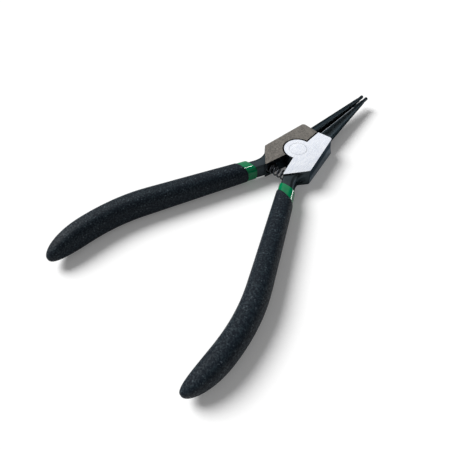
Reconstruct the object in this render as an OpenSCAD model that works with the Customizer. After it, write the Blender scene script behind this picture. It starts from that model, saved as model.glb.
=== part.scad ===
// External circlip pliers with straight tips.
// Two equal forgings, one turned over, share a lap joint at the pivot. Squeezing the
// handles spreads the tips, and a coil spring behind the pivot pushes them together again.
// Millimetres. +Y runs from the pivot to the tips, +Z up, and the head's underside is z = 0.

/* [Head] */
// Thickness of the head between its two ground faces
head_t = 8.4; // [7.6:0.1:11]
// Half width of the head at its front corner, on the parting line
head_front_x = 8.3; // [7.5:0.1:10]
// Front corner of the head, ahead of the pivot
head_front_y = 16.9; // [14:0.1:20]
// Half width of the head at its widest corner, on the parting line
head_rear_x = 13.4; // [12:0.1:15]
// Widest corner of the head, behind the pivot
head_rear_y = -8.4; // [-10:0.1:-6]
// Inner rear corner of the ground pad, from the centre line
pad_end_x = 5.0; // [4.5:0.1:6]
// Inner rear corner of the ground pad, behind the pivot
pad_end_y = -18.3; // [-21:0.1:-16]
// Half of the gap between the two halves ahead of the pivot
part_gap = 0.4; // [0.3:0.05:0.45]
// How far the head's inner front corner stands behind the outer one
front_step = 0.8; // [0.2:0.1:2]
// Rounding of the head's front corner
front_round = 1.6; // [1:0.1:4]
// Draft of the forged outer wall, in degrees
draft = 5; // [1:0.5:8]
// Height of the trimmed parting line along the forged outer wall
trim_h = 0.3; // [0.1:0.05:1]
// How far the trimmed parting line stands proud of the wall
trim_out = 0.05; // [0.02:0.01:0.2]
// Ground bevel along the pad's outer edge
edge_bevel = 0.4; // [0.2:0.05:0.8]

/* [Lap joint] */
// Radius of the eye around the rivet
eye_r = 6.6; // [6:0.1:8]
// Inner edge of the head beside the eye, from the centre line
eye_root_x = 2.0; // [1.5:0.1:3]
// Gap around the other half's eye
eye_gap = 0.7; // [0.4:0.1:1.2]
// Running gap between the two lap faces
lap_gap = 0.1; // [0.05:0.05:0.3]
// Radius of the rivet's shank
rivet_r = 3.0; // [2:0.1:3.4]
// Radius of the rivet's countersunk heads
rivet_head_r = 4.1; // [3.5:0.1:5]
// Radial clearance between the rivet and both eyes
rivet_fit = 0.05; // [0.02:0.01:0.1]

/* [Jaws] */
// Widest point of the jaw where it leaves the head, from the centre line
jaw_root_x = 6.8; // [5.5:0.1:7.4]
// Ridge of the jaw where it leaves the head, from the centre line
jaw_ridge_x = 1.7; // [1.4:0.1:2.5]
// Half of the gap between the jaws where they leave the head
jaw_gap = 0.6; // [0.45:0.05:1]
// Height of the ridge above the mid-plane where it leaves the head
jaw_root_h = 4.0; // [3:0.1:4.1]
// Radius of the jaw at the pin's shoulder
jaw_end_r = 1.1; // [1:0.05:1.6]
// End of the jaw and start of the pin, ahead of the pivot
jaw_end_y = 57.4; // [45:0.1:75]
// Radius of the fillet at the outside of the jaw's root
jaw_fillet = 2.5; // [1:0.1:4]
// Radius of the tip pin
pin_r = 0.9; // [0.6:0.05:1.2]
// Length of the tip pin
pin_l = 4.0; // [2:0.1:6]
// Bevel at the end of the tip pin
pin_edge = 0.15; // [0.05:0.05:0.3]
// Axis of the tip pin, from the centre line
pin_x = 1.35; // [1.35:0.05:2]

/* [Handles] */
// Where the first dip layer starts, from the centre line
dip_x = 10.5; // [10:0.1:12]
// Where the first dip layer starts, behind the pivot
dip_y = -22.0; // [-26:0.1:-21.5]
// Angle of the straight run to the centre line, in degrees
splay = 25.8; // [22:0.2:30]
// Length of the straight run
straight_l = 50.6; // [40:0.2:60]
// Radius of the bend behind the straight run
bend_r = 77; // [60:0.5:110]
// Length of the handle from the start of the dip to the end of the grip
handle_l = 98.5; // [88:0.5:110]
// Width of the tang, in plan
tang_w = 6.3; // [5.5:0.1:7.5]
// Height of the neck and of the tang's front end
neck_t = 7.0; // [6:0.1:7.4]
// Height of the tang where the handle is tallest
tang_t = 8.8; // [7:0.1:10]
// Radius of the hollow between the head's widest corner and the neck
waist_r = 9; // [6:0.1:12]
// Rounding of the neck's outer edges
neck_round = 2.5; // [1:0.1:2.8]
// Rounding of the neck's inner edges
neck_edge = 0.8; // [0.3:0.1:2]
// Part of the full section left where the handle ends
end_share = 0.91; // [0.8:0.01:1]

/* [Grips] */
// Thickness of the first dip layer
liner_t = 0.8; // [0.5:0.1:1.4]
// Length of the first layer left showing
band_l = 4.7; // [2:0.1:8]
// Thickness of the second layer at its front edge
grip_lip_t = 0.4; // [0.3:0.05:0.8]
// Thickness of the second layer where it has drained thickest
grip_t = 1.0; // [0.6:0.05:2]
// Length over which the handle rounds off at its end
nose_l = 19.5; // [12:0.5:24]
// Lean of the nose toward the other handle
nose_lean = 0.6; // [0:0.1:1.5]

/* [Spring] */
// Outer radius of the coil
coil_r = 2.3; // [1.8:0.05:2.5]
// Diameter of the wire
wire_d = 0.7; // [0.5:0.05:0.9]
// Turns, with one closed turn at each end
coil_turns = 8; // [5:0.5:9]
// Spring axis, behind the pivot
coil_y = -15; // [-16:0.1:-14]
// Floor of each spring pocket, from the centre line
pocket_x = 7.2; // [6.2:0.1:8]
// Radial clearance around the coil in its pocket
pocket_fit = 0.3; // [0.2:0.05:0.5]
// End clearance of the coil at each pocket floor
pocket_end = 0.1; // [0.05:0.05:0.3]

/* [Hidden] */
$fn = 48;
mid_z = head_t / 2;
sides = 20;
coil_steps = 18;
wire_sides = 8;
corner_steps = 4;
jaw_sides = 24;
// How far a shape runs into the one it is joined to
bury = 3;
// How far the tang starts behind the first dip layer's front edge
tang_start = 0.5;

// Corners of the ground pad, from the front inner corner around the outside
front_in = [part_gap, head_front_y - front_step];
front_out = [head_front_x, head_front_y];
rear_out = [head_rear_x, head_rear_y];
rear_in = [pad_end_x, pad_end_y];
eye_root = [eye_root_x, -eye_r];

// Headings are measured from -Y toward +X; the normal points away from the centre line
function along(a) = [sin(a), -cos(a)];
function across(a) = [cos(a), sin(a)];
dip_at = [dip_x, dip_y];
bend_at = dip_at + straight_l * along(splay);
bend_mid = bend_at - bend_r * across(splay);
function turned(s) = max(0, s - straight_l) / bend_r * 180 / PI;
function heading(s) = splay - turned(s);
function path(s) = s <= straight_l ? dip_at + s * along(splay) : bend_mid + bend_r * across(heading(s));

// The hollow behind the widest corner: a circle through that corner, touching the neck's outside
neck_side = dip_at + tang_w / 2 * across(splay);
to_corner = rear_out - [neck_t / 2 * tan(draft), 0] - neck_side;
corner_out = to_corner * across(splay);
corner_s = to_corner * along(splay);
touch_s = corner_s + sqrt(max(0.1, 2 * corner_out * waist_r - corner_out * corner_out));
function hollow(s) = s >= touch_s ? 0 : waist_r - sqrt(waist_r * waist_r - (touch_s - s) * (touch_s - s));

// The neck's inside keeps the tang's width up to the pad's inner corner, then runs into the head
pad_s = (rear_in - dip_at) * along(splay);
function neck_in(s) = tang_w / 2 * (s >= pad_s ? 1 : (s - corner_s) / (pad_s - corner_s));

// Neck section: outer edges rounded fully, inner edges a little
function neck_ring(s, slant = 0) = [
    for (c = [0 : 3], k = [0 : corner_steps])
        let (
            outer = c == 0 || c == 3,
            r = outer ? neck_round : neck_edge,
            a = 90 * (c + k / corner_steps),
            o = (outer ? tang_w / 2 + hollow(s) - r : r - neck_in(s)) + r * cos(a),
            p = path(s) + o * across(splay) + slant * o * along(splay)
        )
        [p.x, p.y, (c < 2 ? 1 : -1) * (neck_t / 2 - r) + r * sin(a)]
];

// Rounded-square sections swept along the handle
function signed_root(c, n) = sign(c) * pow(abs(c), 2 / n);
function ring(s, w, h, n, lean = 0, slant = 0) = [
    for (i = [0 : sides - 1])
        let (
            t = 360 * (i + 0.5) / sides,
            o = w / 2 * signed_root(cos(t), n) - lean,
            p = path(s) + o * across(heading(s)) + slant * o * along(heading(s))
        )
        [p.x, p.y, h / 2 * signed_root(sin(t), n)]
];
// Part of the full section left at a distance from the rounded end
function nose(d) = d >= nose_l ? 1 : pow(1 - pow(1 - max(d, 0.12) / nose_l, 2.2), 1 / 2.2);
// Part of the full section left along the bend
function tail(s) = 1 - (1 - end_share) * max(0, s - straight_l) / (handle_l - straight_l);
// Height of the tang, growing along the straight run
function tang_h(s) = neck_t + (tang_t - neck_t) * min(1, max(0, s / straight_l));
// Thickness of the second layer, growing along the straight run
function lip(s) = grip_lip_t + (grip_t - grip_lip_t) * min(1, max(0, (s - band_l) / straight_l));
// Stations from a start to an end: the straight run, the bend and the nose
function stations(from, end, steps) = concat(
    [for (s = [from, straight_l * 0.5, straight_l]) s],
    [for (i = [1 : steps]) straight_l + (end - nose_l - straight_l) * i / steps],
    [for (k = [0.62, 0.36, 0.18, 0.07, 0.011]) end - nose_l * k]
);

// Skin of triangles over a list of rings, closed at both ends
module skin(rings) {
    n = len(rings[0]);
    last = (len(rings) - 1) * n;
    polyhedron(
        points = [for (r = rings) each r],
        faces = concat(
            [[for (i = [0 : n - 1]) i]],
            [for (k = [0 : len(rings) - 2], i = [0 : n - 1])
                let (a = k * n + i, b = k * n + (i + 1) % n)
                each [[a, a + n, b + n], [a, b + n, b]]],
            [[for (i = [n - 1 : -1 : 0]) last + i]]
        ),
        convexity = 6
    );
}

// Solid handle grown outside the tang by a layer, from one station to the end. The pliers hang
// upright in the dip, so the front edge lies level across the tool and slants across the handle.
module handle_body(from, end, steps, layer, square, thick = function(s) 0) {
    skin([for (s = stations(from, end, steps))
        let (n = nose(end - s), f = n * tail(s), g = 2 * (layer + thick(s)))
        ring(s, (tang_w + g) * f, (tang_h(s) + g) * f, square, nose_lean * (1 - n),
            s == from ? tan(splay) : 0)]);
}

module tang_body() {
    handle_body(tang_start, handle_l - grip_t - liner_t, 10, 0, 4.5);
}

module liner_body() {
    handle_body(0, handle_l - grip_t, 10, liner_t, 3.2);
}

module grip_body() {
    handle_body(band_l, handle_l, 12, liner_t, 2.6, function(s) lip(s));
}

// Points of a rounded corner at b between a and c
function rounded(a, b, c, r, steps = 5) =
    let (
        u = (a - b) / norm(a - b), v = (c - b) / norm(c - b),
        half = acos(u * v) / 2,
        m = b + (u + v) / norm(u + v) * r / sin(half),
        p = b + u * r / tan(half) - m, q = b + v * r / tan(half) - m
    )
    [for (i = [0 : steps])
        let (d = p * (steps - i) + q * i) m + d / norm(d) * r];

// Slab outside the wall from p to q, leaning in by an angle above height z
module lean_cut(p, q, z, angle) {
    d = q - p;
    translate([p.x, p.y, z]) rotate([0, 0, atan2(d.y, d.x)]) rotate([angle, 0, 0])
        translate([-head_t / 2, 0, 0]) cube([norm(d) + head_t, head_t, head_t]);
}

// One face's side of the forged outer wall: draft above the trimmed parting line, then the ground bevel
module edge_cuts() {
    wall_out = across(atan2(rear_out.x - front_out.x, front_out.y - rear_out.y));
    draft_in = trim_out * wall_out;
    bevel_in = draft_in + (mid_z - edge_bevel - trim_h / 2) * tan(draft) * wall_out;
    lean_cut(front_out - draft_in, rear_out - draft_in, trim_h / 2, draft);
    lean_cut(front_out - bevel_in, rear_out - bevel_in, mid_z - edge_bevel, 45);
}

// Head: ground pad in full thickness, with the eye in the upper layer only
module head() {
    difference() {
        union() {
            linear_extrude(head_t, center = true)
                polygon(concat([front_in], rounded(front_in, front_out, rear_out, front_round),
                    [rear_out, rear_in, eye_root, [part_gap, 0]]));
            cylinder(r = eye_r, h = mid_z);
        }
        edge_cuts();
        mirror([0, 0, 1]) edge_cuts();
    }
}

// Jaw section: quarter ellipses inside and outside a ridge, tall at the head and round at the pin
root_y = head_front_y - front_step;
function flare(d) = jaw_fillet - sqrt(jaw_fillet * jaw_fillet - pow(max(0, jaw_fillet - d), 2));
function jaw_ring(y, d) =
    let (
        t = max(0, y - root_y) / (jaw_end_y - root_y),
        ridge = jaw_ridge_x * (1 - t) + pin_x * t,
        inner = (jaw_ridge_x - jaw_gap) * (1 - t) + jaw_end_r * t,
        outer = (jaw_root_x - jaw_ridge_x) * (1 - t) + jaw_end_r * t + flare(d),
        tall = jaw_root_h * (1 - t) + jaw_end_r * t
    )
    [for (i = [0 : jaw_sides - 1])
        let (a = -360 * i / jaw_sides)
        [ridge + cos(a) * (cos(a) > 0 ? outer : inner), y, tall * sin(a)]];

// Jaw: lofted along its ridge, with a fillet at the root and a turned pin at its end
module jaw() {
    fillet_steps = [for (i = [2 : 6]) jaw_fillet * i / 6];
    skin(concat(
        [jaw_ring(root_y - bury, jaw_fillet)],
        [for (d = fillet_steps) jaw_ring(root_y + d, d)],
        [for (i = [1 : 4]) let (d = jaw_fillet + (jaw_end_y - root_y - jaw_fillet) * i / 4)
            jaw_ring(root_y + d, d)]
    ));
    translate([pin_x, jaw_end_y, 0]) rotate([-90, 0, 0]) rotate_extrude()
        polygon([[0, -pin_edge], [pin_r, -pin_edge], [pin_r, pin_l - pin_edge],
            [pin_r - pin_edge, pin_l], [0, pin_l]]);
}

// Neck: hollowed on the outside toward the head's widest corner, ending inside the first dip layer
module neck() {
    skin(concat(
        [for (i = [0 : 8]) neck_ring(corner_s + (touch_s - corner_s) * i / 8)],
        [neck_ring(2 * tang_start, tan(splay))]
    ));
}

// Rivet outline as a solid of revolution, grown by a clearance
module rivet_shape(grow) {
    sink = rivet_head_r - rivet_r;
    rotate_extrude() polygon([
        [0, -mid_z], [rivet_head_r + grow, -mid_z], [rivet_r + grow, sink - mid_z],
        [rivet_r + grow, mid_z - sink], [rivet_head_r + grow, mid_z], [0, mid_z]
    ]);
}

// One forging, with its eye in the upper layer
module half() {
    difference() {
        union() {
            head();
            jaw();
            neck();
            tang_body();
        }
        translate([0, 0, -head_t]) cylinder(r = eye_r + eye_gap, h = head_t + lap_gap / 2);
        rivet_shape(rivet_fit);
        translate([0, coil_y, 0]) rotate([0, 90, 0]) cylinder(r = coil_r + pocket_fit, h = pocket_x);
    }
}

// The coil's position along its axis after u turns, with a closed turn at each end
coil_l = 2 * (pocket_x - pocket_end) - wire_d;
coil_pitch = (coil_l - 2 * wire_d) / (coil_turns - 2);
function coil_at(u) =
    u < 1 ? u * wire_d
    : u > coil_turns - 1 ? coil_l - (coil_turns - u) * wire_d
    : wire_d + (u - 1) * coil_pitch;

module coil() {
    skin([for (k = [0 : coil_turns * coil_steps])
        let (u = k / coil_steps, a = 360 * u)
        [for (i = [0 : wire_sides - 1])
            let (t = -360 * i / wire_sides, r = coil_r - wire_d / 2 + wire_d / 2 * cos(t))
            [coil_at(u) + wire_d / 2 * sin(t) - coil_l / 2, r * cos(a), r * sin(a)]]]);
}

// The second forging and its dip layers are the same shapes turned over about the long axis
module turned_over() {
    rotate([0, 180, 0]) children();
}

module grip_liner() {
    difference() {
        liner_body();
        tang_body();
        neck();
    }
}

module grip() {
    difference() {
        grip_body();
        liner_body();
    }
}

module right_half() color("#c9ccd2") translate([0, 0, mid_z]) half();
module left_half() color("#8b8781") translate([0, 0, mid_z]) turned_over() half();
module pivot_rivet() color("#dfe1e6") translate([0, 0, mid_z]) rivet_shape(0);
module return_spring() color("#3a3d42") translate([0, coil_y, mid_z]) coil();
module right_grip_liner() color("#0b7a45") translate([0, 0, mid_z]) grip_liner();
module left_grip_liner() color("#0b7a45") translate([0, 0, mid_z]) turned_over() grip_liner();
module right_grip() color("#1b2228") translate([0, 0, mid_z]) grip();
module left_grip() color("#1b2228") translate([0, 0, mid_z]) turned_over() grip();

right_half();
left_half();
pivot_rivet();
return_spring();
right_grip_liner();
left_grip_liner();
right_grip();
left_grip();
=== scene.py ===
# %% [markdown]
# # Circlip pliers on a white table
# These pliers open a retaining ring on a shaft: squeezing the handles spreads the two tips.
# The CAD model fixes every size and every movement, so this lesson only dresses it.
# Each visible piece is modelled again with softer edges and a real finish, in the CAD frame,
# and then rides on the CAD body that carries it.

# %% The CAD frame
import math

import bmesh
import bpy
from mathutils import Matrix, Vector


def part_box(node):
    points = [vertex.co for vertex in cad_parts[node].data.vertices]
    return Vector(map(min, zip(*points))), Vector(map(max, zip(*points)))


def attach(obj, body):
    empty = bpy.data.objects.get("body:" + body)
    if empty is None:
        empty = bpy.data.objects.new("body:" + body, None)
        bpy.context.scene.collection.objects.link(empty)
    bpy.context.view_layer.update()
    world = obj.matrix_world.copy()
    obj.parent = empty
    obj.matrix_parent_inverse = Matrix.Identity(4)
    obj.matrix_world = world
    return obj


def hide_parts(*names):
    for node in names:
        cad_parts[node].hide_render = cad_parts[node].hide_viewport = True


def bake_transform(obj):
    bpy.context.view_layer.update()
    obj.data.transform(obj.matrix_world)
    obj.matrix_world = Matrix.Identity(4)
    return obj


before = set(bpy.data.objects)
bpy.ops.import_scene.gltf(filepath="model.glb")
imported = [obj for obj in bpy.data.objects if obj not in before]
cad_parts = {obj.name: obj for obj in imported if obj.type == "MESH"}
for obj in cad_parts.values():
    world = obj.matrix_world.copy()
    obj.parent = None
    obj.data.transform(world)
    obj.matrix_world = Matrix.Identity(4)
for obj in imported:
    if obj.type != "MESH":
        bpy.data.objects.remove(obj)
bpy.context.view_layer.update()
scene = bpy.context.scene
scene.view_settings.view_transform = "Standard"
MM = 0.001
print("CAD nodes:", sorted(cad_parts))

# %% [markdown]
# ## The camera
# The photograph was taken from above the right handle, with a fairly wide lens held close.
# The pliers are mirror symmetric, so matching pairs of corners give the view: the camera's
# pitch, its small roll, its bearing and its place were solved from them and the handles' outline.

# %% Camera
pitch, roll, bearing = (math.radians(a) for a in (51.79, -3.08, 44.90))
level = Vector((-math.cos(bearing), math.sin(bearing), 0))
side = Vector((math.sin(bearing), math.cos(bearing), 0))
up = Vector((0, 0, 1))
forward = level * math.cos(pitch) - up * math.sin(pitch)
lift = level * math.sin(pitch) + up * math.cos(pitch)
right = side * math.cos(roll) + lift * math.sin(roll)
top = lift * math.cos(roll) - side * math.sin(roll)

lens = bpy.data.cameras.new("photo_camera")
lens.lens, lens.sensor_width = 32.108, 36
camera = bpy.data.objects.new("photo_camera", lens)
camera.matrix_world = Matrix((right, top, -forward)).transposed().to_4x4()
camera.matrix_world.translation = Vector((76.62, -127.94, 136.69)) * MM
scene.collection.objects.link(camera)
scene.camera = camera
print("camera", [round(v, 4) for v in camera.location])

# %% [markdown]
# ## Colours and nodes
# Colours are written as sRGB hex values, the way a paint chart gives them, and turned to the
# linear values that shaders expect. `add` makes a shader node: properties come in by name, and
# inputs take a number, a colour or a socket to link. `start_finish` begins a material, and
# `wire_up` links its last nodes to the surface.

# %% Helpers for materials
def paint(code):
    parts = [int(code[i:i + 2], 16) / 255 for i in (1, 3, 5)]
    return [c / 12.92 if c <= 0.04045 else ((c + 0.055) / 1.055) ** 2.4 for c in parts] + [1]


def add(tree, kind, inputs, **properties):
    made = tree.nodes.new(kind)
    for name, value in properties.items():
        setattr(made, name, value)
    for name, value in inputs.items():
        if isinstance(value, bpy.types.NodeSocket):
            tree.links.new(value, made.inputs[name])
        else:
            made.inputs[name].default_value = value
    return made


def start_finish(name, **shader):
    made = bpy.data.materials.new(name)
    made.use_nodes = True
    surface = made.node_tree.nodes["Principled BSDF"]
    for socket, value in shader.items():
        surface.inputs[socket.replace("_", " ")].default_value = value
    return made, made.node_tree, surface


def wire_up(tree, surface, **sockets):
    for name, socket in sockets.items():
        tree.links.new(socket, surface.inputs[name.replace("_", " ")])


# %% [markdown]
# ## Ground steel
# The two flat faces of the head are ground bright after the forging is blackened. A grinding
# wheel leaves fine parallel lines, so a noise pattern is stretched along one direction: a
# Mapping node of the Texture kind divides by its scale, so the scale is the real size of a mark.
# The lines tint the colour a little, roughen the gloss and tilt the surface very slightly.
# The right half catches the light and looks nearly white; the left half is the same ground steel painted
# a duller, warm grey, a painted shade. The same lines, darker, make the strip beside a jaw's ridge,
# partly wear and partly a painted highlight, and the outer wall, painted lighter as bounce light from the
# table.

# %% Ground steel finishes
cloud_size, line_depth, rough_spread = 4 * MM, 0.02 * MM, 0.06


def ground_steel(name, dark, pale, rough, turn, mark, stretch=14, edge="#ffffff"):
    made, tree, surface = start_finish(name, Metallic=1.0, Specular_Tint=paint(edge))
    where = add(tree, "ShaderNodeTexCoord", {}).outputs["Object"]
    lines = add(tree, "ShaderNodeMapping", {
        "Vector": where, "Rotation": (0, 0, turn), "Scale": (mark, mark * stretch, mark * stretch)},
        vector_type="TEXTURE")
    streaks = add(tree, "ShaderNodeTexNoise", {
        "Vector": lines.outputs[0], "Scale": 1, "Detail": 4, "Roughness": 0.6}).outputs["Fac"]
    patch = add(tree, "ShaderNodeMapping", {"Vector": where, "Scale": (cloud_size,) * 3},
                vector_type="TEXTURE")
    cloud = add(tree, "ShaderNodeTexNoise", {
        "Vector": patch.outputs[0], "Scale": 1, "Detail": 3}).outputs["Fac"]
    cloud = add(tree, "ShaderNodeMapRange", {"Value": cloud, "To Min": 0.38, "To Max": 0.62}).outputs[0]
    blend = add(tree, "ShaderNodeMath", {0: streaks, 1: cloud}, operation="MULTIPLY")
    shade = add(tree, "ShaderNodeMapRange", {
        "Value": blend.outputs[0], "From Min": 0.16, "From Max": 0.34})
    tint = add(tree, "ShaderNodeMix", {0: shade.outputs[0], 6: paint(dark), 7: paint(pale)},
               data_type="RGBA")
    gloss = add(tree, "ShaderNodeMapRange", {
        "Value": streaks, "From Min": 0.3, "From Max": 0.7,
        "To Min": rough - rough_spread, "To Max": rough + rough_spread})
    bump = add(tree, "ShaderNodeBump", {"Height": streaks, "Strength": 0.25, "Distance": line_depth})
    wire_up(tree, surface, Base_Color=tint.outputs[2], Roughness=gloss.outputs[0], Normal=bump.outputs[0])
    return made


bright_ground_steel = ground_steel("bright_ground_steel", "#a9aeb9", "#ced0d3",
                                   rough=0.24, turn=math.radians(12), mark=0.3 * MM)
# The left half's grey is painted shade: the same ground steel, darkened.
ground_steel_painted_shade = ground_steel("ground_steel_painted_shade", "#444240", "#75716b",
                                 rough=0.36, turn=math.radians(-11), mark=0.45 * MM, stretch=1.6)
worn_and_highlight_steel = ground_steel("worn_edge_and_painted_highlight", "#5c5f63", "#9a9ea4", rough=0.3, turn=0, mark=0.4 * MM)
# The outer wall's two finishes are painted bounce light from the table: much lighter below the seam, a
# little lighter above it.
wall_lines = {"rough": 0.34, "turn": math.radians(90), "mark": 0.4 * MM}
bounce_lit_wall_foot = ground_steel("wall_foot_painted_bounce_light", "#454e57", "#6c7680", edge="#d8dee2", **wall_lines)
bounce_lit_wall_top = ground_steel("wall_top_painted_bounce_light", "#252b31", "#414a53", edge="#aeb5bb", **wall_lines)
print("ground finishes ready")

# %% [markdown]
# ## Blackened forging
# Jaws, necks and the head's side walls keep the black oxide skin of the hot forging and its
# blackening bath: a dark blue-grey with a soft gloss, slightly mottled, over a fine scale
# texture. The skin shines like a dark metal. Its reflections stay dark at a slanting view too,
# which the specular tint takes care of, so an edge seen against the table keeps its black line.

# %% Black oxide finish
black_oxide, tree, surface = start_finish(
    "black_oxide_forging", Metallic=1.0, Specular_Tint=paint("#82888c"))
where = add(tree, "ShaderNodeTexCoord", {}).outputs["Object"]
mottle_size = add(tree, "ShaderNodeMapping", {"Vector": where, "Scale": (2.2 * MM,) * 3},
                  vector_type="TEXTURE")
mottle = add(tree, "ShaderNodeTexNoise", {
    "Vector": mottle_size.outputs[0], "Scale": 1, "Detail": 5, "Roughness": 0.6}).outputs["Fac"]
scale_size = add(tree, "ShaderNodeMapping", {"Vector": where, "Scale": (0.35 * MM,) * 3},
                 vector_type="TEXTURE")
scale_skin = add(tree, "ShaderNodeTexNoise", {
    "Vector": scale_size.outputs[0], "Scale": 1, "Detail": 3}).outputs["Fac"]
tint = add(tree, "ShaderNodeMix", {0: mottle, 6: paint("#282d30"), 7: paint("#3a4145")}, data_type="RGBA")
gloss = add(tree, "ShaderNodeMapRange", {"Value": mottle, "To Min": 0.32, "To Max": 0.46})
bump = add(tree, "ShaderNodeBump", {"Height": scale_skin, "Strength": 0.3, "Distance": 0.04 * MM})
wire_up(tree, surface, Base_Color=tint.outputs[2], Roughness=gloss.outputs[0], Normal=bump.outputs[0])
print("black oxide ready")

# %% [markdown]
# ## Shells for a forging
# A forging is easiest to think of as a few closed shells: a plate, an eye, a jaw and a neck.
# Everything is drawn in millimetres around the pivot, with the lap's mid-plane at height zero.
# `swing` turns a shell about an axis through that origin. `pull` extrudes a face and hands back
# the new one. The first face stays as the shell's end, and each later one is deleted, because a
# face inside a solid is no part of its skin. `combine` unites or cuts two closed shells with the
# exact Boolean solver. The solver uses several threads and returns the same corners in another
# order each time, and later steps go by that order, so `in_order` lists them again by place and
# every run gives the same mesh. `soften` rounds sharp edges, because no real edge is perfectly
# sharp and the thin rounded strip catches the light. `round_corners` does the same to the corners
# of a face that is still flat.

# %% Helpers for shells
weld, slack = 0.001, 0.01


def swing(bm, degrees, axis):
    bmesh.ops.rotate(bm, cent=(0, 0, 0), matrix=Matrix.Rotation(math.radians(degrees), 3, axis),
                     verts=bm.verts)


def pull(bm, face):
    first = all(e.is_boundary for e in face.edges)
    grown = bmesh.ops.extrude_face_region(bm, geom=[face])["geom"]
    if not first:
        bmesh.ops.delete(bm, geom=[face], context="FACES_ONLY")
    return next(g for g in grown if isinstance(g, bmesh.types.BMFace))


def shell_object(bm):
    mesh = bpy.data.meshes.new("shell")
    bm.to_mesh(mesh)
    bm.free()
    made = bpy.data.objects.new("shell", mesh)
    scene.collection.objects.link(made)
    return made


def in_order(bm):
    spots = {v: tuple(v.co) for v in bm.verts}
    rings = []
    for face in bm.faces:
        ring = [spots[v] for v in face.verts]
        first = ring.index(min(ring))
        rings.append(ring[first:] + ring[:first])
    bm.clear()
    corner = {spot: bm.verts.new(spot) for spot in sorted(set(spots.values()))}
    for ring in sorted(rings):
        bm.faces.new([corner[spot] for spot in ring])
    bm.normal_update()


def combine(base, tool, operation):
    pair = [shell_object(base), shell_object(tool)]
    step = pair[0].modifiers.new("combine", "BOOLEAN")
    step.object, step.operation, step.solver = pair[1], operation, "EXACT"
    done = bmesh.new()
    done.from_object(pair[0], bpy.context.evaluated_depsgraph_get())
    for used in pair:
        bpy.data.meshes.remove(used.data)
    bmesh.ops.remove_doubles(done, verts=done.verts, dist=weld)
    in_order(done)
    return done


def sharp_edges(bm, angle=30):
    return [e for e in bm.edges if e.is_manifold and e.calc_face_angle() > math.radians(angle)]


def soften(bm, edges, width, segments=2):
    bmesh.ops.bevel(bm, geom=edges, offset=width, affect="EDGES", segments=segments, profile=0.5,
                    material=-1, clamp_overlap=True)


def round_corners(bm, corners, radius, segments):
    bmesh.ops.bevel(bm, geom=corners, offset=radius, affect="VERTICES", segments=segments, profile=0.5,
                    material=-1, clamp_overlap=False)


# %% [markdown]
# ## The head plate
# The plate is a flat polygon pulled up into a slab of two layers. Its front corner is rounded
# while it is still flat. The eye of the lap joint is a disc in the upper layer only, and a wider
# disc is cut from the lower layer to make room for the other half's eye.

# %% Head plate
head_t = 8.4
mid = head_t / 2
part_gap, wall_steps, seam = 0.4, 8, -0.2
front_in, front_out = Vector((0.4, 16.1, 0)), Vector((8.3, 16.9, 0))
rear_out, rear_in = Vector((13.4, -8.4, 0)), Vector((5.0, -18.3, 0))
front_round, rear_round = 1.45, 0.7
eye_r, eye_gap, eye_root = 6.6, 0.7, Vector((2.0, -6.6, 0))
lap_gap = 0.1


def disc(radius, low, high, segments=96, far=None):
    bm = bmesh.new()
    bmesh.ops.create_cone(bm, cap_ends=True, segments=segments, radius1=radius, radius2=far or radius,
                          depth=high - low)
    bmesh.ops.translate(bm, vec=(0, 0, (low + high) / 2), verts=bm.verts)
    return bm


def corner_at(bm, spot):
    return [v for v in bm.verts if (v.co - spot).xy.length < slack]


plate = bmesh.new()
wall_points = [front_out.lerp(rear_out, k / wall_steps) for k in range(wall_steps + 1)]
corners = [front_in] + wall_points + [rear_in, eye_root, Vector((part_gap, 0, 0))]
plate.faces.new([plate.verts.new(c - up * mid) for c in corners])
round_corners(plate, corner_at(plate, front_out), front_round, 6)
round_corners(plate, corner_at(plate, rear_in), rear_round, 3)
face = plate.faces[:][0]
for rise in (mid + seam, mid - seam):
    face = pull(plate, face)
    bmesh.ops.translate(plate, vec=(0, 0, rise), verts=face.verts)
bmesh.ops.recalc_face_normals(plate, faces=plate.faces)
plate = combine(plate, disc(eye_r, 0, mid), "UNION")
plate = combine(plate, disc(eye_r + eye_gap, -head_t, lap_gap / 2), "DIFFERENCE")
print("head plate:", len(plate.faces), "faces")

# %% [markdown]
# ## Bores in the plate
# A rivet with two countersunk heads holds the halves, and the coil spring sits in a blind
# pocket behind it. The pocket widens toward its mouth, because the coil bends a little when the
# handles close. The rivet's outline is spun around the pivot, once a little larger to cut its
# seat here and once at its own size to make the rivet later.

# %% Rivet seat and spring pocket
rivet_r, rivet_head_r, rivet_fit, cut_over = 3.0, 4.1, 0.05, 1
coil_r, coil_y = 2.3, -15.0
pocket_x, pocket_fit, pocket_flare, pocket_spare = 7.2, 0.3, 0.7, 0.4


def spun(profile, steps=64):
    bm = bmesh.new()
    points = [bm.verts.new((r, 0, z)) for r, z in profile]
    edges = [bm.edges.new(pair) for pair in zip(points, points[1:])]
    bmesh.ops.spin(bm, geom=points + edges, cent=(0, 0, 0), axis=(0, 0, 1), angle=math.tau, steps=steps,
                   use_merge=True)
    bmesh.ops.remove_doubles(bm, verts=bm.verts, dist=weld)
    bmesh.ops.recalc_face_normals(bm, faces=bm.faces)
    return bm


def rivet_profile(grow, reach):
    sink = rivet_head_r - rivet_r
    half = [(rivet_r + grow, mid - sink), (rivet_head_r + grow, mid)]
    half += [(rivet_head_r + grow, reach), (0, reach)] if reach > mid else [(0, mid)]
    return [(r, -z) for r, z in reversed(half)] + half


pocket = disc(coil_r + pocket_fit + pocket_flare, 0, pocket_x + pocket_spare, 48, coil_r + pocket_fit)
swing(pocket, 90, "Y")
bmesh.ops.translate(pocket, vec=(0, coil_y, 0), verts=pocket.verts)
plate = combine(plate, spun(rivet_profile(rivet_fit, mid + cut_over)), "DIFFERENCE")
plate = combine(plate, pocket, "DIFFERENCE")
print("plate with its bores:", len(plate.faces), "faces")

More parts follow.
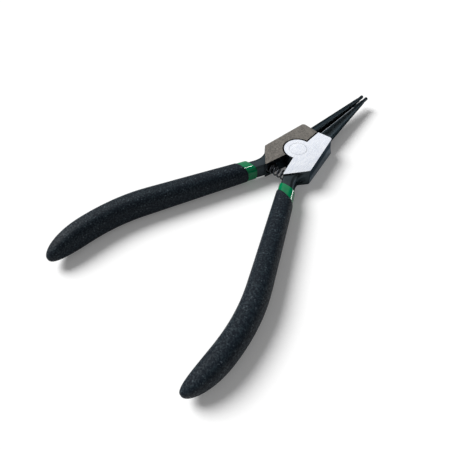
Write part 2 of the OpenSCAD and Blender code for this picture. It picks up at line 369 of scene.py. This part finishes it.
# %% [markdown]
# ## The leaning wall
# The long outer wall has the forging's draft, the lean that lets the blank leave the die: above
# the seam of the two dies its top edge moves in, and below it the foot moves out, more and more
# toward the jaw. This comes after the cuts, because the Boolean solver likes flat faces.

# %% Lean of the outer wall
draft, foot_lean, wall_depth = math.radians(5), 0.95, 1.6
wall = (rear_out - front_out).normalized()
outward = Vector((-wall.y, wall.x, 0))
leaning = [v for v in plate.verts if (v.co - rear_out).xy.dot(outward.xy) > -wall_depth]
for v in leaning:
    toward_jaw = (v.co.y - rear_out.y) / (front_out.y - rear_out.y)
    if abs(v.co.z) > mid / 2:
        v.co += outward * (foot_lean * toward_jaw if v.co.z < 0 else -mid * math.tan(draft))
plate.normal_update()
print("corners moved:", len(leaning))

# %% [markdown]
# ## Ground faces
# The bright finish belongs to the faces at full height and to their narrow rounded edge, so the edges are
# softened first and the faces are then sorted by height and slope. The outer wall gets painted light:
# above the seam a dark finish a little lighter than the black skin, and below it a dull blue steel, both
# standing in for bounce light from the table.

# %% Soft edges and the plate's finishes
GROUND, OXIDE, WORN_AND_HIGHLIT, FOOT_BOUNCE_LIT, TOP_BOUNCE_LIT = range(5)
flat_enough, corner_soft, rim_soft, seat_clear = math.radians(0.5), 0.6, 0.4, 0.3
ground_strip, ground_slope, wall_facing = 0.42, 0.3, 0.9
bmesh.ops.dissolve_limit(plate, angle_limit=flat_enough, verts=plate.verts, edges=plate.edges)
rear_edges = [e for e in sharp_edges(plate)
              if all((v.co - rear_out).xy.length < corner_soft for v in e.verts)]
soften(plate, rear_edges, corner_soft, 3)
rim = [e for e in sharp_edges(plate) if all(
    abs(v.co.z) > mid - slack and v.co.xy.length > rivet_head_r + seat_clear for v in e.verts)]
soften(plate, rim, rim_soft)
for face in plate.faces:
    height = face.calc_center_median().z
    if abs(height) > mid - ground_strip and abs(face.normal.z) > ground_slope:
        face.material_index = GROUND
    # Painted bounce light: the outer wall is lighter, most of all below the seam.
    elif face.normal.dot(outward) > wall_facing:
        face.material_index = TOP_BOUNCE_LIT if height > seam else FOOT_BOUNCE_LIT
    else:
        face.material_index = OXIDE
print("plate faces ground:", sum(f.material_index == GROUND for f in plate.faces), "of", len(plate.faces))

# %% [markdown]
# ## The jaw and its pin
# A jaw is forged tall where it leaves the head and round where the pin starts. Its section lies on either
# side of a ridge, narrow inside and wide outside. One closed ring is extruded from step to step, and each
# new ring is stretched to its own reach inside, outside and upward. The strip beside the ridge on its
# inner side gets a lighter bare steel, partly the black finish worn off the ridge and partly a painted
# highlight along that edge.
# The pin that enters the ring's hole is spun round, parallel to the centre line.

# %% Jaw
jaw_root_x, jaw_ridge_x, jaw_gap, jaw_root_h, jaw_fillet = 6.8, 1.7, 0.6, 4.0, 2.5
jaw_end_r, jaw_end_y, jaw_end_soft, bury, pin_x = 1.1, 57.4, 0.15, 3.0, 1.35
fillet_steps, taper_steps = 6, 4
wear_and_highlight_steep, wear_and_highlight_inside, wear_and_highlight_level, black_end = 0.82, 0.05, 0.5, 6
run = jaw_end_y - front_in.y


def jaw_reach(d):
    t = max(0, d) / run
    flare = jaw_fillet - math.sqrt(jaw_fillet ** 2 - max(0, jaw_fillet - d) ** 2) if d > 0 else 0
    inside = (jaw_ridge_x - jaw_gap) * (1 - t) + jaw_end_r * t
    outside = (jaw_root_x - jaw_ridge_x) * (1 - t) + jaw_end_r * t + flare
    return jaw_ridge_x * (1 - t) + pin_x * t, inside, outside, jaw_root_h * (1 - t) + jaw_end_r * t


jaw = bmesh.new()
bmesh.ops.create_circle(jaw, cap_ends=True, segments=48, radius=1)
swing(jaw, 90, "X")
bmesh.ops.translate(jaw, vec=(0, front_in.y - bury, 0), verts=jaw.verts)
face, at, was = jaw.faces[:][0], -bury, (0, 1, 1, 1)
fillet_stops = [jaw_fillet * k / fillet_steps for k in range(2, fillet_steps + 1)]
taper_stops = [jaw_fillet + (run - jaw_fillet) * k / taper_steps for k in range(1, taper_steps + 1)]
for stop in [-bury] + fillet_stops + taper_stops:
    if stop > at:
        face = pull(jaw, face)
    now = jaw_reach(stop)
    for v in face.verts:
        side_of = 2 if v.co.x > was[0] else 1
        v.co.x = now[0] + (v.co.x - was[0]) * now[side_of] / was[side_of]
        v.co.z *= now[3] / was[3]
    bmesh.ops.translate(jaw, vec=(0, stop - at, 0), verts=face.verts)
    at, was = stop, now
bmesh.ops.recalc_face_normals(jaw, faces=jaw.faces)
end_ring = [e for e in jaw.edges if all(v.co.y > jaw_end_y - slack for v in e.verts)]
soften(jaw, end_ring, jaw_end_soft)
# Faces chosen by where they look get the lighter steel: partly wear, partly a painted highlight.
for face in jaw.faces:
    beside_ridge = (abs(face.normal.y) < wear_and_highlight_level and face.normal.x < -wear_and_highlight_inside
                    and abs(face.normal.z) > wear_and_highlight_steep)
    rubbed_and_highlit = beside_ridge and face.calc_center_median().y < jaw_end_y - black_end
    face.material_index = WORN_AND_HIGHLIT if rubbed_and_highlit else OXIDE
print("jaw:", len(jaw.faces), "faces")

# %% Pin
pin_r, pin_l, pin_edge, pin_arc, pin_bury = 0.9, 4.0, 0.2, 0.06, 0.6
pin = spun([(0, -pin_bury), (pin_r, -pin_bury), (pin_r, pin_l - pin_edge),
            (pin_r - pin_arc, pin_l - pin_arc), (pin_r - pin_edge, pin_l), (0, pin_l)], 32)
swing(pin, -90, "X")
bmesh.ops.translate(pin, vec=(pin_x, jaw_end_y, 0), verts=pin.verts)
print("pin:", len(pin.faces), "faces")

# %% [markdown]
# ## The line of the handle
# Each handle leaves the head straight and then bends back toward the other one. Positions along
# it are given by their distance from the start of the first dip layer: a straight run, then an
# arc. Headings are measured from the rearward direction.

# %% Handle path
dip, splay = Vector((10.5, -22.0, 0)), math.radians(25.8)
straight_l, bend_r, handle_l = 50.6, 77.0, 98.5


def along(a):
    return Vector((math.sin(a), -math.cos(a), 0))


def across(a):
    return Vector((math.cos(a), math.sin(a), 0))


def heading(s):
    return splay - max(0, s - straight_l) / bend_r


def path(s):
    if s <= straight_l:
        return dip + along(splay) * s
    return dip + along(splay) * straight_l - across(splay) * bend_r + across(heading(s)) * bend_r


print("handle ends at", [round(v, 1) for v in path(handle_l)])

# %% [markdown]
# ## The neck
# Behind the head the forging narrows in a hollow and becomes the tang inside the grip. The
# neck starts as one rounded section inside the head. It is extruded again and again toward the
# grip, and at each step the outer side moves in along the hollow's circle.

# %% Neck
tang_w, neck_t, waist_r, neck_round, neck_edge = 6.3, 7.0, 9.0, 2.5, 0.8
neck_steps, tang_stops = 12, [-2, 2]
to_corner = rear_out - Vector((neck_t / 2 * math.tan(draft), 0, 0)) - (dip + across(splay) * tang_w / 2)
corner_s, corner_out = to_corner.dot(along(splay)), to_corner.dot(across(splay))
touch_s = corner_s + math.sqrt(2 * corner_out * waist_r - corner_out ** 2)
pad_s = (rear_in - dip).dot(along(splay))


def hollow(s):
    return 0 if s >= touch_s else waist_r - math.sqrt(waist_r ** 2 - (touch_s - s) ** 2)


def inner(s):
    return tang_w / 2 * (1 if s >= pad_s else (s - corner_s) / (pad_s - corner_s))


stops = [corner_s + (touch_s - corner_s) * i / neck_steps for i in range(neck_steps + 1)] + tang_stops
reach_out, reach_in = tang_w / 2 + hollow(stops[1]), inner(stops[1])
neck = bmesh.new()
bmesh.ops.create_grid(neck, x_segments=1, y_segments=1, size=0.5)
for v in neck.verts:
    v.co = Vector((reach_out if v.co.x > 0 else -reach_in, 0, v.co.y * neck_t))
for outer_side, radius, steps in ((True, neck_round, 6), (False, neck_edge, 3)):
    side_corners = [v for v in neck.verts
                    if (v.co.x > 0) == outer_side and abs(v.co.z) > neck_t / 2 - slack]
    round_corners(neck, side_corners, radius, steps)
frame_first = Matrix((across(splay), along(splay), up)).transposed().to_4x4()
frame_first.translation = path(stops[1])
bmesh.ops.transform(neck, matrix=frame_first, verts=neck.verts)
end = neck.faces[:][0]
for before, after in zip(stops[1:], stops[2:]):
    centre = path(before) + across(splay) * (tang_w / 2 + hollow(before) - inner(before)) / 2
    end = pull(neck, end)
    far = [v for v in end.verts if (v.co - centre).dot(across(splay)) > 0]
    near = [v for v in end.verts if v not in far]
    bmesh.ops.translate(neck, vec=along(splay) * (after - before), verts=end.verts)
    bmesh.ops.translate(neck, vec=across(splay) * (hollow(after) - hollow(before)), verts=far)
    bmesh.ops.translate(neck, vec=across(splay) * (inner(before) - inner(after)), verts=near)
bmesh.ops.recalc_face_normals(neck, faces=neck.faces)
print("neck:", len(neck.faces), "faces")

# %% [markdown]
# ## Two halves from one forging
# Both halves come out of the same die. The second is the first turned over about the long axis, which
# puts its eye in the lower layer. All shells of a half become one piece. The second half keeps its plain
# black skin where the first has lighter finishes: painted bounce light on its wall, and along the jaw's
# ridge a strip that is partly wear and partly a painted highlight.
# `keep_piece` brings a mesh to metres, gives it its finishes, hangs it on the body that carries it and
# hides the CAD node it stands for.

# %% Keep a finished piece
def keep_piece(bm, name, body, node, finishes, angle=35, flat_faces=False):
    bmesh.ops.scale(bm, vec=(MM, MM, MM), verts=bm.verts)
    mesh = bpy.data.meshes.new(name)
    bm.to_mesh(mesh)
    bm.free()
    for finish in finishes:
        mesh.materials.append(finish)
    mesh.shade_smooth()
    mesh.set_sharp_from_angle(angle=math.radians(angle))
    piece = bpy.data.objects.new(name, mesh)
    scene.collection.objects.link(piece)
    if flat_faces:
        steady = piece.modifiers.new("flat faces stay flat", "WEIGHTED_NORMAL")
        steady.keep_sharp, steady.weight = True, 50
    if body:
        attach(piece, body)
    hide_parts(node)
    print(name, len(mesh.polygons), "faces on", body or "two bodies")
    return piece


# %% Right and left half
for shell in (pin, neck):
    for face in shell.faces:
        face.material_index = OXIDE
half = bmesh.new()
for shell in (plate, jaw, pin, neck):
    mesh = bpy.data.meshes.new("shell")
    shell.to_mesh(mesh)
    shell.free()
    half.from_mesh(mesh)
    bpy.data.meshes.remove(mesh)
turned = half.copy()
swing(turned, 180, "Y")
# The turned half keeps plain black skin: it drops the painted bounce light on the wall and the lighter
# jaw strip.
for face in turned.faces:
    face.material_index = min(face.material_index, OXIDE)
for bm in (half, turned):
    bmesh.ops.translate(bm, vec=(0, 0, mid), verts=bm.verts)
keep_piece(half, "right_forging", "right_side", "right_half",
           [bright_ground_steel, black_oxide, worn_and_highlight_steel, bounce_lit_wall_foot, bounce_lit_wall_top], flat_faces=True)
keep_piece(turned, "left_forging", "left_side", "left_half",
           [ground_steel_painted_shade, black_oxide], flat_faces=True)

# %% [markdown]
# ## The rivet
# The rivet is set and then ground flush with the right half's face, so it shares that bright
# finish and only a faint ring shows where its head meets the seat.

# %% Rivet
rivet_edge = 0.1
rivet = spun(rivet_profile(0, mid))
rivet_rims = [e for e in sharp_edges(rivet) if all(abs(v.co.z) > mid - slack for v in e.verts)]
soften(rivet, rivet_rims, rivet_edge)
bmesh.ops.translate(rivet, vec=(0, 0, mid), verts=rivet.verts)
keep_piece(rivet, "flush_rivet", "right_side", "pivot_rivet", [bright_ground_steel],
           flat_faces=True)

# %% [markdown]
# ## The return spring
# A small compression coil pushes the handles apart. A ring of wire is spun around the spring's axis while
# it climbs: the first and last turn close up wire to wire, the turns between are open. When the handles
# close, each end turns with its own half and the coil shortens and bends between them; here the piece is
# attached to neither body.
# Its oil-tempered wire is dark grey with a clear gloss.

# %% Spring wire finish
oiled_wire, tree, surface = start_finish("oil_tempered_spring_wire", Metallic=1.0)
where = add(tree, "ShaderNodeTexCoord", {}).outputs["Object"]
draw_size = add(tree, "ShaderNodeMapping", {"Vector": where, "Scale": (0.4 * MM,) * 3},
                vector_type="TEXTURE")
draw = add(tree, "ShaderNodeTexNoise", {
    "Vector": draw_size.outputs[0], "Scale": 1, "Detail": 3}).outputs["Fac"]
tint = add(tree, "ShaderNodeMix", {0: draw, 6: paint("#2a2d31"), 7: paint("#5a5e64")}, data_type="RGBA")
gloss = add(tree, "ShaderNodeMapRange", {"Value": draw, "To Min": 0.16, "To Max": 0.3})
wire_up(tree, surface, Base_Color=tint.outputs[2], Roughness=gloss.outputs[0])
print("spring wire ready")

# %% Spring
wire_d, turns, pocket_end, turn_steps, blend_over = 0.7, 8, 0.1, 28, 1.9
coil_l = 2 * (pocket_x - pocket_end) - wire_d
open_pitch = (coil_l - 2 * wire_d) / (turns - 2)
coil = bmesh.new()
bmesh.ops.create_circle(coil, cap_ends=False, segments=10, radius=wire_d / 2)
bmesh.ops.translate(coil, vec=(-coil_l / 2, coil_r - wire_d / 2, 0), verts=coil.verts)
front = coil.verts[:] + coil.edges[:]
for count, climb in ((1, wire_d), (turns - 2, open_pitch), (1, wire_d)):
    front = bmesh.ops.spin(coil, geom=front, cent=(0, 0, 0), axis=(1, 0, 0),
                           dvec=(climb / turn_steps, 0, 0), angle=math.tau * count,
                           steps=turn_steps * count)["geom_last"]
bmesh.ops.holes_fill(coil, edges=[e for e in coil.edges if e.is_boundary])
bmesh.ops.recalc_face_normals(coil, faces=coil.faces)
bmesh.ops.translate(coil, vec=(0, coil_y, mid), verts=coil.verts)
return_spring = keep_piece(coil, "coil_spring", None, "return_spring", [oiled_wire])
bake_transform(return_spring)

# %% [markdown]
# ## Dipped handles
# The handles are dipped twice in liquid vinyl. The first, green coat shows as a band in front of
# the second, black one. The pliers hang upright in the bath, so each coat ends along a level
# line, which runs aslant across the splayed handle, in a soft rounded lip. No two dips are quite
# alike: on the right handle the black coat ends on a steeper line than on the left one.
# A coat is one rounded-square section swept along the handle: extruded, then moved by the
# difference between two frames of the path, which also scale it to the local size.

# %% Sweep a coat along the handle
tang_t, end_share, liner_t, band_l = 8.8, 0.91, 0.8, 4.7
lip_t, grip_t, nose_l, nose_lean, nose_power = 0.4, 1.0, 19.5, 0.6, 2.2
tilt_fade, lip_clear, bend_leads, bend_steps = 25, 0.02, (12, 4), 9
front_stops = ((0, 0.12), (0.06, 0.5), (0.2, 0.8), (0.45, 0.96), (0.8, 1), (3, 1), (10, 1),
               (tilt_fade, 1))
nose_shares = (0.9, 0.8, 0.7, 0.6, 0.5, 0.4, 0.3, 0.22, 0.15, 0.09, 0.05, 0.02, 0.006)


def section_frame(s, grow, share=1.0, lean=0.0, slant=0.0):
    wide = (tang_w + 2 * grow) * share / 2
    tall = (neck_t + (tang_t - neck_t) * min(1, max(0, s / straight_l)) + 2 * grow) * share / 2
    out, ahead = across(heading(s)), along(heading(s))
    made = Matrix(((out + ahead * slant) * wide, ahead, up * tall)).transposed().to_4x4()
    made.translation = path(s) - out * lean
    return made


def swept_coat(start, end, thick, square, tilt):
    places = []
    for ahead, share in front_stops:
        places.append(section_frame(start + ahead, thick(start + ahead) * share + lip_clear,
                                    slant=tilt * (1 - ahead / tilt_fade)))
    stops = [straight_l - lead for lead in bend_leads]
    stops += [straight_l + (end - nose_l - straight_l) * i / bend_steps for i in range(bend_steps + 1)]
    stops += [end - nose_l * share for share in nose_shares]
    for s in stops:
        left = max(0, (s - (end - nose_l)) / nose_l)
        nose = (1 - left ** nose_power) ** (1 / nose_power)
        tail = 1 - (1 - end_share) * max(0, s - straight_l) / (handle_l - straight_l)
        places.append(section_frame(s, thick(s), nose * tail, nose_lean * (1 - nose)))
    bm = bmesh.new()
    bmesh.ops.create_circle(bm, cap_ends=True, segments=40, radius=1)
    for v in bm.verts:
        v.co = [math.copysign(abs(c) ** (2 / square), c) for c in (v.co.x, 0, v.co.y)]
    face = bm.faces[:][0]
    bmesh.ops.transform(bm, matrix=places[0], verts=bm.verts)
    for before, after in zip(places, places[1:]):
        face = pull(bm, face)
        bmesh.ops.transform(bm, matrix=after @ before.inverted(), verts=face.verts)
    bmesh.ops.recalc_face_normals(bm, faces=bm.faces)
    return bm


def black_coat(s):
    return liner_t + lip_t + (grip_t - lip_t) * min(1, max(0, (s - band_l) / straight_l))


print("black coat:", [round(black_coat(s), 2) for s in (band_l, handle_l)], "mm over the steel")

# %% [markdown]
# ## Vinyl finishes
# The green coat is plain glossy vinyl, smooth from flowing out wet, with a few soft waves that bend its
# highlights. The black coat is filled and blown to a fine cellular grain for grip: a dense pebble, dull
# all over. Its colour is dark blue between the cells and neutral grey on their raised tops, partly the
# grain's own tone and partly painted shade and painted highlight, and single cells carry a painted
# sparkle. The real grain is about a third of a millimetre, and it is drawn at 0.7 mm, just coarse enough
# to show.

# %% Green vinyl
green_vinyl, tree, surface = start_finish("green_dipped_vinyl", IOR=1.53, Specular_IOR_Level=0.12)
where = add(tree, "ShaderNodeTexCoord", {}).outputs["Object"]
flow_size = add(tree, "ShaderNodeMapping", {"Vector": where, "Scale": (1.6 * MM,) * 3},
                vector_type="TEXTURE")
flow = add(tree, "ShaderNodeTexNoise", {
    "Vector": flow_size.outputs[0], "Scale": 1, "Detail": 2}).outputs["Fac"]
tint = add(tree, "ShaderNodeMix", {0: flow, 6: paint("#00613d"), 7: paint("#00804e")}, data_type="RGBA")
gloss = add(tree, "ShaderNodeMapRange", {"Value": flow, "To Min": 0.07, "To Max": 0.15})
bump = add(tree, "ShaderNodeBump", {"Height": flow, "Strength": 0.3, "Distance": 0.1 * MM})
wire_up(tree, surface, Base_Color=tint.outputs[2], Roughness=gloss.outputs[0], Normal=bump.outputs[0])
print("green vinyl ready")

# %% Black vinyl
black_vinyl, tree, surface = start_finish("black_grained_vinyl", IOR=1.5, Specular_IOR_Level=0.12)
where = add(tree, "ShaderNodeTexCoord", {}).outputs["Object"]
grain_size = add(tree, "ShaderNodeMapping", {"Vector": where, "Scale": (0.7 * MM,) * 3},
                 vector_type="TEXTURE")
grain = add(tree, "ShaderNodeTexNoise", {
    "Vector": grain_size.outputs[0], "Scale": 1, "Detail": 2, "Roughness": 0.7}).outputs["Fac"]
spread_size = add(tree, "ShaderNodeMapping", {"Vector": where, "Scale": (5 * MM,) * 3},
                  vector_type="TEXTURE")
spread = add(tree, "ShaderNodeTexNoise", {
    "Vector": spread_size.outputs[0], "Scale": 1, "Detail": 3}).outputs["Fac"]
# Raised cells pale, the hollows between them dark: partly the grain's tone, partly painted highlight and
# shade.
pale = add(tree, "ShaderNodeMapRange", {"Value": grain, "From Min": 0.47, "From Max": 0.61})
depth = add(tree, "ShaderNodeMath", {0: pale.outputs[0], 1: spread}, operation="MULTIPLY")
base = add(tree, "ShaderNodeMix", {0: depth.outputs[0], 6: paint("#020b15"), 7: paint("#2d393f")},
           data_type="RGBA")
fleck_size = add(tree, "ShaderNodeMapping", {"Vector": where, "Scale": (0.5 * MM,) * 3},
                 vector_type="TEXTURE")
fleck = add(tree, "ShaderNodeTexVoronoi", {"Vector": fleck_size.outputs[0], "Scale": 1}).outputs["Color"]
chance = add(tree, "ShaderNodeSeparateColor", {0: fleck}).outputs[0]
# A few single cells are painted lighter: a painted sparkle.
painted_sparkle = add(tree, "ShaderNodeMapRange", {
    "Value": chance, "From Min": 0.945, "From Max": 1.0, "To Max": 0.3})
tint = add(tree, "ShaderNodeMix", {0: painted_sparkle.outputs[0], 6: base.outputs[2], 7: paint("#67737b")},
           data_type="RGBA")
gloss = add(tree, "ShaderNodeMapRange", {
    "Value": grain, "From Min": 0.3, "From Max": 0.7, "To Min": 0.72, "To Max": 0.42})
bump = add(tree, "ShaderNodeBump", {"Height": grain, "Strength": 0.7, "Distance": 0.2 * MM})
wire_up(tree, surface, Base_Color=tint.outputs[2], Roughness=gloss.outputs[0], Normal=bump.outputs[0])
print("black vinyl ready")

# %% Coats on both handles
green_square, black_square = 3.2, 2.6
level_tilt, right_tilt, right_later = math.tan(splay), 0.75, 0.6
green_pieces = bpy.data.collections.new("green_coats_only")
for hand, body, flip, later, tilt in (("right", "right_side", False, right_later, right_tilt),
                                      ("left", "left_side", True, 0, level_tilt)):
    green = swept_coat(0, handle_l - grip_t, lambda s: liner_t, green_square, level_tilt)
    black = swept_coat(band_l + later, handle_l, black_coat, black_square, tilt)
    for bm, name, node, slot, finish in (
            (green, "green_coat", "grip_liner", "green_dip", green_vinyl),
            (black, "black_coat", "grip", "black_dip", black_vinyl)):
        if flip:
            swing(bm, 180, "Y")
        bmesh.ops.translate(bm, vec=(0, 0, mid), verts=bm.verts)
        piece = keep_piece(bm, f"{hand}_{name}", body, f"{hand}_{node}", [finish], angle=80)
        smooth = piece.modifiers.new("rounder", "SUBSURF")
        smooth.levels = smooth.render_levels = 1
        if finish is green_vinyl:
            green_pieces.objects.link(piece)

# %% [markdown]
# ## Table and light
# The pliers lie on a white table in studio light. A broad soft sun from the left throws the wide
# grey shadow to the right. The table stays white to the camera and to shiny metal with a little
# light of its own, and still shows the shadow. Ground steel shows what it mirrors, so the room
# has four soft light panels where the photograph's bright faces look, a dark far wall that
# keeps the black skin black, and a pale wall behind the camera for every other side. Only
# glossy rays see these panels and walls: the camera sees plain white, and matt surfaces get an
# even, dim light.

# %% Table
table_half, table_gap = 1.5, 0.0001
floor_z = min(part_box(n)[0].z for n in ("right_grip", "left_grip"))
table = bmesh.new()
bmesh.ops.create_grid(table, x_segments=1, y_segments=1, size=table_half)
bmesh.ops.translate(table, vec=(0, 0, floor_z - table_gap), verts=table.verts)
mesh = bpy.data.meshes.new("white_table")
table.to_mesh(mesh)
table.free()
white_table = bpy.data.objects.new("white_table", mesh)
scene.collection.objects.link(white_table)
print("table at", round(floor_z / MM, 2), "mm")

# %% White board
board_glow = 0.11


def seen_directly(tree, ray):
    seen = ray["Is Camera Ray"]
    for kind in ("Is Glossy Ray", "Is Transmission Ray"):
        seen = add(tree, "ShaderNodeMath", {0: seen, 1: ray[kind]}, operation="MAXIMUM").outputs[0]
    return seen


white_board, tree, surface = start_finish(
    "matt_white_board", Base_Color=paint("#f7f7f7"), Roughness=0.9, Specular_IOR_Level=0.0,
    Emission_Color=(1, 1, 1, 1))
seen = seen_directly(tree, add(tree, "ShaderNodeLightPath", {}).outputs)
lift_up = add(tree, "ShaderNodeMath", {0: seen, 1: board_glow}, operation="MULTIPLY")
wire_up(tree, surface, Emission_Strength=lift_up.outputs[0])
white_table.data.materials.append(white_board)
print("white board ready")

# %% Sun
sun = bpy.data.lights.new("soft_sun", "SUN")
sun.energy, sun.angle = 3.5, math.radians(33)
lamp = bpy.data.objects.new("soft_sun", sun)
lamp.rotation_euler = Vector((0.647, 0.168, -0.743)).to_track_quat("-Z", "Y").to_euler()
scene.collection.objects.link(lamp)
print("sun ready")

# %% Room
far_wall, near_wall, wall_edge, dim = 0.04, 0.9, 0.35, 0.2
room = bpy.data.worlds.new("white_room")
room.use_nodes = True
scene.world = room
room.cycles.sampling_method = "NONE"
tree = room.node_tree
sky = tree.nodes["Background"]
ray = add(tree, "ShaderNodeLightPath", {}).outputs
seen = seen_directly(tree, ray)
look = add(tree, "ShaderNodeTexCoord", {}).outputs["Generated"]


def panel(toward, full, fade, strength):
    facing = add(tree, "ShaderNodeVectorMath", {0: look, 1: Vector(toward).normalized()},
                 operation="DOT_PRODUCT")
    inside, outside = (math.cos(math.radians(angle)) for angle in (full, fade))
    return add(tree, "ShaderNodeMapRange", {
        "Value": facing.outputs["Value"], "From Min": outside, "From Max": inside, "To Max": strength},
        interpolation_type="SMOOTHSTEP").outputs[0]


depth_of = add(tree, "ShaderNodeSeparateXYZ", {0: look}).outputs["Y"]
glow = add(tree, "ShaderNodeMapRange", {
    "Value": depth_of, "From Min": wall_edge, "From Max": -wall_edge, "To Min": far_wall,
    "To Max": near_wall}, interpolation_type="SMOOTHSTEP").outputs[0]
for card in (panel((-0.52, 0.70, 0.48), 17, 23, 1.85), panel((-0.5, 0.05, 0.85), 16, 30, 1.8),
             panel((0.38, 0.73, 0.56), 4, 9, 3.2), panel((0.48, 0.85, 0.2), 5, 10, 7.0)):
    glow = add(tree, "ShaderNodeMath", {0: glow, 1: card}, operation="MAXIMUM").outputs[0]
shown = add(tree, "ShaderNodeMath", {0: ray["Is Glossy Ray"], 1: glow}, operation="MULTIPLY").outputs[0]
for kind in ("Is Camera Ray", "Is Transmission Ray"):
    shown = add(tree, "ShaderNodeMath", {0: ray[kind], 1: shown}, operation="MAXIMUM").outputs[0]
level_of = add(tree, "ShaderNodeMapRange", {"Value": seen, "To Min": dim, "To Max": shown})
tree.links.new(level_of.outputs[0], sky.inputs["Strength"])
sky.inputs["Color"].default_value = (1, 1, 1, 1)
print("room ready")

# %% [markdown]
# ## Glints on the green bands
# Glossy vinyl mirrors small bright windows as short white lines. Two square lights make them,
# each placed where the band's shoulder looks. Light linking lets them shine on the green coats
# only, and without diffuse light, so steel, grips and table stay as they are.

# %% Window lights
window_away = 0.3
for name, spot, toward, size, strength in (
        ("left_window", (-9.9, -24.5, 8.5), (-0.16, 0.44, 0.88), 0.04, 75),
        ("right_window", (15.2, -25.0, 8.0), (0.35, 0.93, 0.12), 0.08, 30)):
    window = bpy.data.lights.new(name, "AREA")
    window.size, window.energy = size, strength * math.pi * size ** 2
    pane = bpy.data.objects.new(name, window)
    away = Vector(toward).normalized()
    pane.location = Vector(spot) * MM + away * window_away
    pane.rotation_euler = away.to_track_quat("Z", "Y").to_euler()
    pane.visible_diffuse = False
    pane.light_linking.receiver_collection = green_pieces
    scene.collection.objects.link(pane)
    print(name, "at", [round(v, 3) for v in pane.location])
